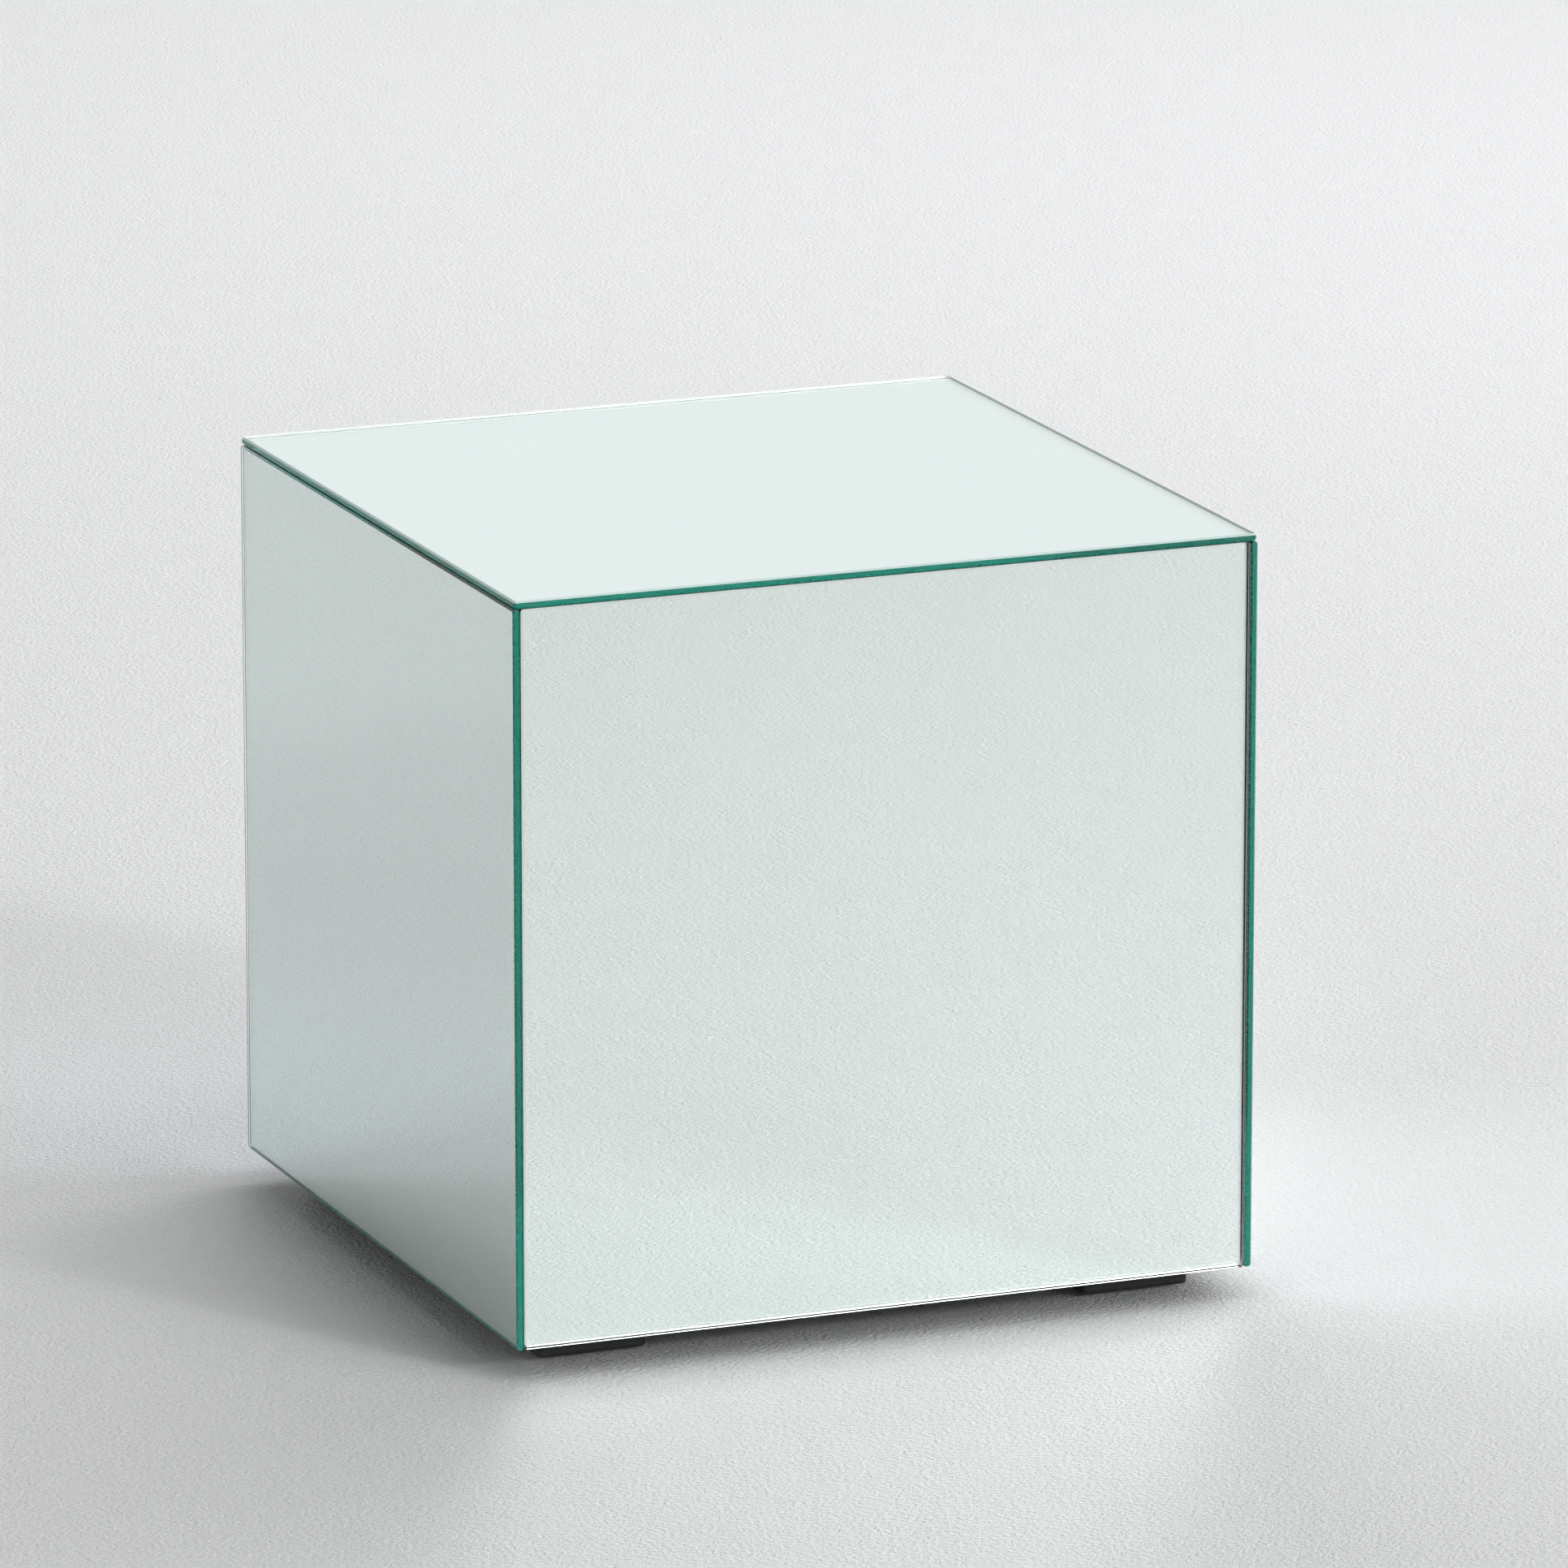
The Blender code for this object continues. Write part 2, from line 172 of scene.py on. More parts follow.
def makeSilver():
    finish, tree, shader = startFinish("silverCoat")
    place = ownPlace(tree)
    cloud = noiseOf(tree, place, 6.0, 3.0)
    warmer = between(tree, cloud, 0.3, 0.7)
    base = blendColours(tree, warmer, colour(0.975, 0.952, 0.935), colour(0.985, 0.962, 0.947))
    plug(tree, shader.inputs["Base Color"], base)
    shader.inputs["Metallic"].default_value = 1.0
    haze = noiseOf(tree, place, 40.0, 3.0)
    plug(tree, shader.inputs["Roughness"], between(tree, haze, 0.3, 0.8, 0.0, 0.02))
    return finish


# the top mirror's upper arris: an opaque, pale cyan-white finish that stands in for the highlight line
# along that edge (painted highlight), partly the real frost of a ground glass edge; the light flecks are
# chips
def makeGroundArrisPaintedHighlight():
    finish, tree, shader = startFinish("groundArrisPaintedHighlight")
    place = ownPlace(tree)
    scour = noiseOf(tree, place, 1500.0, 3.0)
    chip = between(tree, noiseOf(tree, place, 160.0, 2.0), 0.66, 0.74)
    base = blendColours(tree, scour, colour(0.50, 0.68, 0.64), colour(0.66, 0.80, 0.77))
    plug(tree, shader.inputs["Base Color"], blendColours(tree, chip, base, colour(0.90, 0.95, 0.94)))
    plug(tree, shader.inputs["Roughness"], between(tree, scour, 0.3, 0.7, 0.24, 0.40))
    plug(tree, shader.inputs["Normal"], bumpOf(tree, scour, 0.3, 0.00003))
    return finish


def makeBackingPaint():
    finish, tree, shader = startFinish("backingPaint")
    place = ownPlace(tree)
    peel = noiseOf(tree, place, 900.0, 2.0)
    patchy = noiseOf(tree, place, 25.0, 4.0)
    plug(tree, shader.inputs["Base Color"],
         blendColours(tree, patchy, colour(0.115, 0.130, 0.125), colour(0.165, 0.180, 0.172)))
    plug(tree, shader.inputs["Roughness"], between(tree, peel, 0.3, 0.7, 0.42, 0.62))
    plug(tree, shader.inputs["Normal"], bumpOf(tree, peel, 0.35, 0.00006))
    return finish


def makeEdgeSeal():
    finish, tree, shader = startFinish("edgeSeal")
    place = ownPlace(tree)
    blotch = noiseOf(tree, place, 400.0, 3.0)
    plug(tree, shader.inputs["Base Color"],
         blendColours(tree, blotch, colour(0.006, 0.010, 0.009), colour(0.022, 0.030, 0.027)))
    plug(tree, shader.inputs["Roughness"], between(tree, blotch, 0.3, 0.7, 0.5, 0.75))
    plug(tree, shader.inputs["Normal"], bumpOf(tree, blotch, 0.3, 0.00005))
    return finish


def makeFibreboard():
    finish, tree, shader = startFinish("fibreboard")
    place = ownPlace(tree)
    fibre = noiseOf(tree, ownPlace(tree, (1.0, 1.0, 1.6)), 1400.0, 4.0, 0.65, 0.8)
    fleck = cellsOf(tree, place, 850.0)
    cloud = noiseOf(tree, place, 18.0, 4.0)
    base = blendColours(tree, cloud, colour(0.39, 0.262, 0.152), colour(0.47, 0.327, 0.200))
    base = blendColours(tree, between(tree, fibre, 0.35, 0.70), base, colour(0.56, 0.41, 0.265))
    base = blendColours(tree, between(tree, fleck, 0.10, 0.0, 0.0, 0.55), base, colour(0.19, 0.115, 0.060))
    plug(tree, shader.inputs["Base Color"], base)
    plug(tree, shader.inputs["Roughness"], between(tree, fibre, 0.3, 0.7, 0.72, 0.92))
    plug(tree, shader.inputs["Normal"], bumpOf(tree, fibre, 0.5, 0.00012))
    return finish


def makeBlackBoard():
    finish, tree, shader = startFinish("blackBoard")
    place = ownPlace(tree)
    roller = noiseOf(tree, place, 700.0, 3.0, 0.55)
    cloud = noiseOf(tree, place, 14.0, 4.0)
    scuff = noiseOf(tree, ownPlace(tree, (18.0, 1.5, 18.0), (0.0, 0.0, 0.5)), 14.0, 5.0, 0.6)
    base = blendColours(tree, cloud, colour(0.012, 0.012, 0.011), colour(0.024, 0.024, 0.023))
    base = blendColours(tree, between(tree, scuff, 0.68, 0.76, 0.0, 0.5), base, colour(0.085, 0.078, 0.068))
    plug(tree, shader.inputs["Base Color"], base)
    plug(tree, shader.inputs["Roughness"], between(tree, roller, 0.3, 0.7, 0.44, 0.64))
    plug(tree, shader.inputs["Normal"], bumpOf(tree, roller, 0.4, 0.00010))
    return finish


def makePine():
    finish, tree, shader = startFinish("pine")
    rings = addNode(tree, "ShaderNodeTexWave", {
        "Vector": ownPlace(tree, (1.0, 0.8, 0.03), (0.0, 0.0, 0.6)), "Scale": 70.0, "Distortion": 3.5,
        "Detail": 3.0, "Detail Scale": 1.6}, wave_type="RINGS", rings_direction="Z").outputs["Fac"]
    pores = noiseOf(tree, ownPlace(tree, (1.0, 1.0, 0.02)), 1500.0, 3.0)
    base = blendColours(tree, rings, colour(0.70, 0.50, 0.285), colour(0.52, 0.315, 0.150))
    base = blendColours(tree, between(tree, pores, 0.56, 0.74, 0.0, 0.5), base, colour(0.36, 0.21, 0.10))
    plug(tree, shader.inputs["Base Color"], base)
    plug(tree, shader.inputs["Roughness"], between(tree, pores, 0.3, 0.7, 0.52, 0.72))
    plug(tree, shader.inputs["Normal"], bumpOf(tree, pores, 0.4, 0.00010))
    return finish


def makeBeech():
    finish, tree, shader = startFinish("beech")
    rays = noiseOf(tree, ownPlace(tree, (1.0, 1.0, 0.07)), 2600.0, 3.0)
    grain = noiseOf(tree, ownPlace(tree, (1.0, 1.0, 0.015)), 420.0, 3.0)
    base = blendColours(tree, grain, colour(0.58, 0.385, 0.225), colour(0.66, 0.465, 0.290))
    base = blendColours(tree, between(tree, rays, 0.60, 0.75, 0.0, 0.6), base, colour(0.36, 0.20, 0.10))
    plug(tree, shader.inputs["Base Color"], base)
    plug(tree, shader.inputs["Roughness"], between(tree, rays, 0.3, 0.7, 0.50, 0.68))
    plug(tree, shader.inputs["Normal"], bumpOf(tree, rays, 0.35, 0.00006))
    return finish


def makeFoam():
    finish, tree, shader = startFinish("foamTape")
    place = ownPlace(tree)
    cells = cellsOf(tree, place, 2100.0)
    cloud = noiseOf(tree, place, 60.0, 3.0)
    base = blendColours(tree, cloud, colour(0.70, 0.70, 0.66), colour(0.79, 0.785, 0.75))
    # the pits of the foam cells are darkened: painted shade
    base = blendColours(tree, between(tree, cells, 0.35, 0.05, 0.0, 0.5), base, colour(0.50, 0.50, 0.47))
    plug(tree, shader.inputs["Base Color"], base)
    plug(tree, shader.inputs["Roughness"], between(tree, cells, 0.0, 0.6, 0.95, 0.80))
    plug(tree, shader.inputs["Normal"], bumpOf(tree, cells, 0.6, 0.00012))
    return finish


dustHeight = 6.0 * millimetre  # dust gathers on the feet just above the floor


def makeFootPlastic():
    finish, tree, shader = startFinish("footPlastic")
    place = ownPlace(tree)
    spark = noiseOf(tree, place, 1700.0, 3.0, 0.6)
    flow = noiseOf(tree, ownPlace(tree, (1.0, 2.0, 1.0)), 60.0, 3.0, 0.5, 1.2)
    height = addNode(tree, "ShaderNodeSeparateXYZ", {
        "Vector": addNode(tree, "ShaderNodeTexCoord").outputs["Object"]}).outputs["Z"]
    low = between(tree, height, dustHeight, 0.0, 0.0, 1.0)
    lint = noiseOf(tree, place, 320.0, 4.0)
    dust = calc(tree, "MULTIPLY", low, between(tree, lint, 0.45, 0.70, 0.0, 0.35))
    base = blendColours(tree, flow, colour(0.014, 0.014, 0.0135), colour(0.024, 0.024, 0.023))
    base = blendColours(tree, dust, base, colour(0.17, 0.165, 0.155))
    plug(tree, shader.inputs["Base Color"], base)
    plug(tree, shader.inputs["Roughness"],
         calc(tree, "ADD", between(tree, spark, 0.3, 0.7, 0.36, 0.52), calc(tree, "MULTIPLY", dust, 0.6)))
    plug(tree, shader.inputs["Normal"], bumpOf(tree, spark, 0.45, 0.00006))
    return finish


def makeZinc():
    finish, tree, shader = startFinish("zincSteel")
    place = ownPlace(tree)
    grain = noiseOf(tree, place, 1800.0, 3.0)
    stain = noiseOf(tree, place, 240.0, 4.0)
    base = blendColours(tree, stain, colour(0.56, 0.575, 0.59), colour(0.70, 0.69, 0.65))
    base = blendColours(tree, between(tree, stain, 0.66, 0.80, 0.0, 0.5), base, colour(0.62, 0.56, 0.42))
    plug(tree, shader.inputs["Base Color"], base)
    shader.inputs["Metallic"].default_value = 1.0
    plug(tree, shader.inputs["Roughness"], between(tree, grain, 0.3, 0.7, 0.24, 0.42))
    plug(tree, shader.inputs["Normal"], bumpOf(tree, grain, 0.3, 0.00003))
    return finish


def makeFelt():
    finish, tree, shader = startFinish("felt")
    place = ownPlace(tree)
    matted = noiseOf(tree, ownPlace(tree, (1.0, 1.0, 2.0)), 1900.0, 4.0, 0.7, 2.0)
    cloud = noiseOf(tree, place, 220.0, 3.0)
    base = blendColours(tree, matted, colour(0.020, 0.019, 0.018), colour(0.075, 0.070, 0.066))
    base = blendColours(tree, between(tree, cloud, 0.5, 0.8, 0.0, 0.4), base, colour(0.12, 0.113, 0.105))
    plug(tree, shader.inputs["Base Color"], base)
    plug(tree, shader.inputs["Roughness"], between(tree, matted, 0.3, 0.7, 0.90, 1.0))
    plug(tree, shader.inputs["Normal"], bumpOf(tree, matted, 0.8, 0.00025))
    shader.inputs["Sheen Weight"].default_value = 0.35
    shader.inputs["Sheen Roughness"].default_value = 0.6
    return finish


finishes = {
    "clearGlass": makeGlass(), "silverCoat": makeSilver(), "backingPaint": makeBackingPaint(),
    "edgeSeal": makeEdgeSeal(), "groundArrisPaintedHighlight": makeGroundArrisPaintedHighlight(),
    "fibreboard": makeFibreboard(), "blackBoard": makeBlackBoard(),
    "pine": makePine(), "beech": makeBeech(), "foamTape": makeFoam(),
    "footPlastic": makeFootPlastic(), "zincSteel": makeZinc(), "felt": makeFelt(),
}
print("finishes made:", len(finishes))


# ---- Geometry Nodes helpers

def startTree(name, sizes, materials=()):
    tree = bpy.data.node_groups.new(name, "GeometryNodeTree")
    tree.interface.new_socket("Geometry", in_out="INPUT", socket_type="NodeSocketGeometry")
    for label, value in sizes.items():
        kind = "NodeSocketInt" if isinstance(value, int) else "NodeSocketFloat"
        tree.interface.new_socket(label, in_out="INPUT", socket_type=kind).default_value = value
    for label in materials:
        tree.interface.new_socket(label, in_out="INPUT", socket_type="NodeSocketMaterial")
    tree.interface.new_socket("Geometry", in_out="OUTPUT", socket_type="NodeSocketGeometry")
    return tree, tree.nodes.new("NodeGroupInput").outputs


def endTree(tree, shape, material, partFinishes=()):
    whole = addNode(tree, "GeometryNodeRealizeInstances", {"Geometry": shape}).outputs["Geometry"]
    whole = addNode(tree, "GeometryNodeSetMaterial", {"Geometry": whole, "Material": material}).outputs[0]
    for chosen, partMaterial in partFinishes:
        whole = addNode(tree, "GeometryNodeSetMaterial", {
            "Geometry": whole, "Selection": chosen, "Material": partMaterial}).outputs[0]
    tree.links.new(whole, tree.nodes.new("NodeGroupOutput").inputs[0])


def growMesh(tree, name, values):
    holder = bpy.data.objects.new(name, bpy.data.meshes.new(name + "Start"))
    bpy.context.scene.collection.objects.link(holder)
    modifier = holder.modifiers.new("shape", "NODES")
    modifier.node_group = tree
    sockets = {item.name: item.identifier for item in tree.interface.items_tree
               if item.item_type == "SOCKET" and item.in_out == "INPUT"}
    for label, value in values.items():
        modifier[sockets[label]] = value
    graph = bpy.context.evaluated_depsgraph_get()
    grown = holder.evaluated_get(graph)
    mesh = bpy.data.meshes.new_from_object(grown, preserve_all_data_layers=True, depsgraph=graph)
    holder.modifiers.clear()
    bpy.data.objects.remove(holder)
    return mesh


def faceOutwards(mesh):
    build = bmesh.new()
    build.from_mesh(mesh)
    bmesh.ops.remove_doubles(build, verts=build.verts, dist=1e-7)
    bmesh.ops.recalc_face_normals(build, faces=build.faces)
    build.to_mesh(mesh)
    build.free()


def addPiece(name, mesh, replaced, smoothUnder=None):
    piece = bpy.data.objects.new(name, mesh)
    mesh.name = name
    bpy.context.scene.collection.objects.link(piece)
    if smoothUnder is not None:
        mesh.polygons.foreach_set("use_smooth", [True] * len(mesh.polygons))
        mesh.set_sharp_from_angle(angle=math.radians(smoothUnder))
    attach(piece, "root")
    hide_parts(*replaced)


# ---- mirror panels: a ground glass slab with a silver coat and paint behind it

mirrorPanels = {
    "arris": 0.9 * millimetre,
    "cornerRadius": 1.5 * millimetre,
    "cornerSteps": 4,
    "coatThickness": 0.12 * millimetre,
    "coatCornerRadius": 1.0 * millimetre,
    "coatSetback": 0.05 * millimetre,  # the coat stops just short of the arris
    "coatGap": 0.02 * millimetre,
    "sealedEnds": ("front_mirror", "back_mirror"),
    "paintedHighlightArris": ("top_mirror",),  # its upper arris is made pale and opaque: a painted highlight line, partly the real frost of a ground edge
}


def makePanelTree():
    tree, size = startTree("groundPanel", {
        "Width": 0.4, "Length": 0.4, "Thickness": 0.004, "Arris": 0.0009, "Corner Radius": 0.0015,
        "Corner Steps": 4, "Seal Ends": 0.0, "Painted Highlight Arris": 0.0}, ("Face", "Back", "Seal", "Painted Highlight Finish"))
    outline = addNode(tree, "GeometryNodeCurvePrimitiveQuadrilateral", {
        "Width": size["Width"], "Height": size["Length"]}).outputs["Curve"]
    outline = addNode(tree, "GeometryNodeFilletCurve", {
        "Curve": outline, "Count": size["Corner Steps"],
        "Radius": size["Corner Radius"]}, mode="POLY").outputs[0]
    sheet = addNode(tree, "GeometryNodeFillCurve", {"Curve": outline}, mode="NGONS").outputs[0]
    upwards = addNode(tree, "FunctionNodeInputVector", vector=(0.0, 0.0, 1.0)).outputs[0]
    middle = calc(tree, "SUBTRACT", size["Thickness"], calc(tree, "MULTIPLY", size["Arris"], 2.0))
    solid = sheet
    for rise, share in ((size["Arris"], 1.0), (middle, 0.5), (size["Arris"], 1.0)):
        pushed = addNode(tree, "GeometryNodeExtrudeMesh", {
            "Mesh": solid, "Offset": upwards, "Offset Scale": rise, "Individual": False}, mode="FACES")
        solid = addNode(tree, "GeometryNodeStoreNamedAttribute", {
            "Geometry": pushed.outputs["Mesh"], "Selection": pushed.outputs["Side"],
            "Name": "groundShare", "Value": share}, data_type="FLOAT", domain="FACE").outputs[0]
    joined = addNode(tree, "GeometryNodeJoinGeometry")
    for part in (solid, sheet):
        tree.links.new(part, joined.inputs[0])
    closed = addNode(tree, "GeometryNodeMergeByDistance", {
        "Geometry": joined.outputs[0], "Distance": 1e-6}).outputs[0]
    # the outer loops step in by the arris, square to the outline
    place = addNode(tree, "GeometryNodeInputPosition").outputs[0]
    height = addNode(tree, "ShaderNodeSeparateXYZ", {"Vector": place}).outputs["Z"]
    half = calc(tree, "MULTIPLY", size["Thickness"], 0.5)
    fromMiddle = calc(tree, "ABSOLUTE", calc(tree, "SUBTRACT", height, half))
    outer = calc(tree, "GREATER_THAN", fromMiddle, calc(
        tree, "SUBTRACT", half, calc(tree, "MULTIPLY", size["Arris"], 0.5)))
    core = addNode(tree, "ShaderNodeCombineXYZ", {
        "X": calc(tree, "SUBTRACT", calc(tree, "MULTIPLY", size["Width"], 0.5), size["Corner Radius"]),
        "Y": calc(tree, "SUBTRACT", calc(tree, "MULTIPLY", size["Length"], 0.5), size["Corner Radius"]),
        "Z": 1.0}).outputs[0]
    minusCore = vectorCalc(tree, "SCALE", core, scale=-1.0)
    nearest = vectorCalc(tree, "MAXIMUM", vectorCalc(tree, "MINIMUM", place, core), minusCore)
    away = vectorCalc(tree, "NORMALIZE", vectorCalc(tree, "SUBTRACT", place, nearest))
    step = vectorCalc(tree, "SCALE", away, scale=calc(tree, "MULTIPLY", size["Arris"], -1.0))
    ground = addNode(tree, "GeometryNodeSetPosition", {
        "Geometry": closed, "Selection": outer, "Offset": step}).outputs[0]
    normal = addNode(tree, "ShaderNodeSeparateXYZ", {
        "Vector": addNode(tree, "GeometryNodeInputNormal").outputs["Normal"]})
    flat = calc(tree, "GREATER_THAN", calc(tree, "ABSOLUTE", normal.outputs["Z"]), 0.9)
    low = calc(tree, "LESS_THAN", height, half)
    front = calc(tree, "MULTIPLY", flat, calc(tree, "SUBTRACT", 1.0, low))
    endways = calc(tree, "GREATER_THAN", calc(tree, "ABSOLUTE", normal.outputs["X"]), 0.9)
    sealed = calc(tree, "MULTIPLY", endways, size["Seal Ends"])
    slope = calc(tree, "MULTIPLY", calc(tree, "GREATER_THAN", normal.outputs["Z"], 0.3),
                 calc(tree, "LESS_THAN", normal.outputs["Z"], 0.9))
    # the top mirror's upper arris takes the pale finish: a painted highlight line
    paintedHighlight = calc(tree, "MULTIPLY", slope, size["Painted Highlight Arris"])
    endTree(tree, ground, size["Back"], (
        (front, size["Face"]), (sealed, size["Seal"]), (paintedHighlight, size["Painted Highlight Finish"])))
    return tree


# how a flat panel is turned so that its +Z looks out of the table, and its width and length axes
panelTurns = {
    "top_mirror": (2, 0, 1, Matrix.Identity(3)),
    "front_mirror": (1, 0, 2, Matrix(((1, 0, 0), (0, 0, -1), (0, 1, 0)))),
    "back_mirror": (1, 0, 2, Matrix(((-1, 0, 0), (0, 0, 1), (0, 1, 0)))),
    "left_mirror": (0, 1, 2, Matrix(((0, 0, -1), (-1, 0, 0), (0, 1, 0)))),
    "right_mirror": (0, 1, 2, Matrix(((0, 0, 1), (1, 0, 0), (0, 1, 0)))),
}


def placePanel(mesh, turn, centre, depth):
    move = Matrix.Translation(centre) @ turn.to_4x4() @ Matrix.Translation((0.0, 0.0, depth))
    mesh.transform(move)
    faceOutwards(mesh)


def makeMirror(node, tree):
    low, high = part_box(node)
    across, widthAxis, lengthAxis, turn = panelTurns[node]
    size = high - low
    centre = (low + high) / 2
    backing = mirrorPanels["coatThickness"]
    gap = mirrorPanels["coatGap"]
    thickness = size[across] - backing - gap
    sealed = 1.0 if node in mirrorPanels["sealedEnds"] else 0.0
    paintedHighlight = 1.0 if node in mirrorPanels["paintedHighlightArris"] else 0.0
    glass = growMesh(tree, node, {
        "Width": size[widthAxis], "Length": size[lengthAxis], "Thickness": thickness,
        "Arris": mirrorPanels["arris"], "Corner Radius": mirrorPanels["cornerRadius"],
        "Corner Steps": mirrorPanels["cornerSteps"], "Seal Ends": sealed,
        "Painted Highlight Arris": paintedHighlight, "Painted Highlight Finish": finishes["groundArrisPaintedHighlight"],
        "Face": finishes["clearGlass"], "Back": finishes["clearGlass"], "Seal": finishes["edgeSeal"]})
    placePanel(glass, turn, centre, size[across] / 2 - thickness)
    inset = 2 * (mirrorPanels["arris"] + mirrorPanels["coatSetback"])
    coat = growMesh(tree, node, {
        "Width": size[widthAxis] - inset, "Length": size[lengthAxis] - inset, "Thickness": backing,
        "Arris": backing / 4, "Corner Radius": mirrorPanels["coatCornerRadius"],
        "Corner Steps": mirrorPanels["cornerSteps"], "Seal Ends": 0.0,
        "Face": finishes["silverCoat"], "Back": finishes["backingPaint"], "Seal": finishes["backingPaint"]})
    placePanel(coat, turn, centre, -size[across] / 2)
    addPiece(node + "_glass", glass, [node])
    addPiece(node + "_coating", coat, [node])


panelTree = makePanelTree()
for node in panelTurns:
    makeMirror(node, panelTree)
print("mirror panels made:", len(panelTurns))


# ---- turned pieces: a grid wrapped round an axis, each row given a radius and a height

def wrapGrid(tree, around, rows):
    grid = addNode(tree, "GeometryNodeMeshGrid", {"Size X": 1.0, "Size Y": 1.0})
    plug(tree, grid.inputs["Vertices X"], calc(tree, "ADD", around, 1.0))
    plug(tree, grid.inputs["Vertices Y"], rows)
    place = addNode(tree, "ShaderNodeSeparateXYZ", {
        "Vector": addNode(tree, "GeometryNodeInputPosition").outputs[0]})
    angle = calc(tree, "MULTIPLY", calc(tree, "ADD", place.outputs["X"], 0.5), 2 * math.pi)
    share = calc(tree, "ADD", place.outputs["Y"], 0.5)
    row = calc(tree, "ROUND", calc(tree, "MULTIPLY", share, calc(tree, "SUBTRACT", rows, 1.0)))
    return grid.outputs["Mesh"], angle, row


def closeWrap(tree, grid, angle, radius, height):
    place = addNode(tree, "ShaderNodeCombineXYZ", {
        "X": calc(tree, "MULTIPLY", radius, calc(tree, "COSINE", angle)),
        "Y": calc(tree, "MULTIPLY", radius, calc(tree, "SINE", angle)), "Z": height}).outputs[0]
    bent = addNode(tree, "GeometryNodeSetPosition", {"Geometry": grid, "Position": place}).outputs[0]
    return addNode(tree, "GeometryNodeMergeByDistance", {"Geometry": bent, "Distance": 1e-6}).outputs[0]


def stepped(tree, row, values):
    total = values[0]
    for index in range(1, len(values)):
        change = calc(tree, "SUBTRACT", values[index], values[index - 1])
        reached = calc(tree, "GREATER_THAN", row, index - 0.5)
        total = calc(tree, "ADD", total, calc(tree, "MULTIPLY", reached, change))
    return total


screws = {
    "crestRadius": 2.0 * millimetre,
    "coreShare": 0.66,  # core of the thread over its crest
    "pitch": 1.8 * millimetre,
    "rowsPerTurn": 6,
    "stepsAround": 40,
    "headRim": 0.5 * millimetre,
    "point": 4.0 * millimetre,
    "recessReach": 2.3 * millimetre,
    "recessHalfSlot": 0.55 * millimetre,
    "recessDepth": 1.6 * millimetre,
    "recessFloor": 0.62,  # width of the recess at its floor over its width at the face
    "ridgeWidth": 0.30,  # half the thread's foot as a share of the pitch
    "turnEach": 0.7,  # each screw was driven home at its own angle
    "headRows": 6,
    "smoothUnder": 38.0,
}


def makeScrewTree():
    tree, size = startTree("woodScrew", {
        "Length": 0.03, "Core": 0.0013, "Crest": 0.002, "Pitch": 0.0018, "Head Radius": 0.004,
        "Head Rim": 0.0005, "Point": 0.004, "Recess Reach": 0.0023, "Recess Half Slot": 0.00055,
        "Recess Depth": 0.0016, "Steps Around": 40, "Rows": 100}, ("Finish",))
    grid, angle, row = wrapGrid(tree, size["Steps Around"], size["Rows"])
    quarter = math.pi / 2
    fold = calc(tree, "MODULO", calc(tree, "ADD", angle, quarter / 2), quarter)
    fold = calc(tree, "SUBTRACT", fold, quarter / 2)
    armEnd = calc(tree, "DIVIDE", size["Recess Reach"], calc(tree, "COSINE", fold))
    armSide = calc(tree, "DIVIDE", size["Recess Half Slot"],
                   calc(tree, "MAXIMUM", calc(tree, "ABSOLUTE", calc(tree, "SINE", fold)), 0.01))
    star = calc(tree, "MINIMUM", armEnd, armSide)
    floorStar = calc(tree, "MULTIPLY", star, screws["recessFloor"])
    neck = calc(tree, "ADD", size["Head Rim"], calc(tree, "SUBTRACT", size["Head Radius"], size["Core"]))
    rise = calc(tree, "DIVIDE", calc(tree, "SUBTRACT", size["Length"], neck),
                calc(tree, "SUBTRACT", size["Rows"], screws["headRows"]))
    threadRow = calc(tree, "SUBTRACT", row, screws["headRows"] - 1)
    along = calc(tree, "ADD", neck, calc(tree, "MULTIPLY", rise, threadRow))
    turn = calc(tree, "FRACT", calc(tree, "SUBTRACT", calc(tree, "DIVIDE", along, size["Pitch"]),
                                   calc(tree, "DIVIDE", angle, 2 * math.pi)))
    fromCrest = calc(tree, "ABSOLUTE", calc(tree, "SUBTRACT", turn, 0.5))
    ridge = calc(tree, "SUBTRACT", 1.0, calc(tree, "DIVIDE", fromCrest, screws["ridgeWidth"]), clamp=True)
    start = between(tree, along, neck, calc(tree, "ADD", neck, size["Pitch"]))
    depth = calc(tree, "MULTIPLY", calc(tree, "SUBTRACT", size["Crest"], size["Core"]), start)
    thread = calc(tree, "ADD", size["Core"], calc(tree, "MULTIPLY", ridge, depth))
    taper = calc(tree, "DIVIDE", calc(tree, "SUBTRACT", size["Length"], along), size["Point"], clamp=True)
    thread = calc(tree, "MULTIPLY", thread, taper)
    radius = stepped(tree, row, [0.0, floorStar, star, size["Head Radius"], size["Head Radius"], thread])
    deep = size["Recess Depth"]
    height = stepped(tree, row, [deep, deep, 0.0, 0.0, size["Head Rim"], along])
    endTree(tree, closeWrap(tree, grid, angle, radius, height), size["Finish"])
    return tree


def standUpright(mesh, node, angle=0.0):
    low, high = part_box(node)
    centre = (low + high) / 2
    mesh.transform(Matrix.Translation((centre.x, centre.y, low.z)) @ Matrix.Rotation(angle, 4, "Z"))


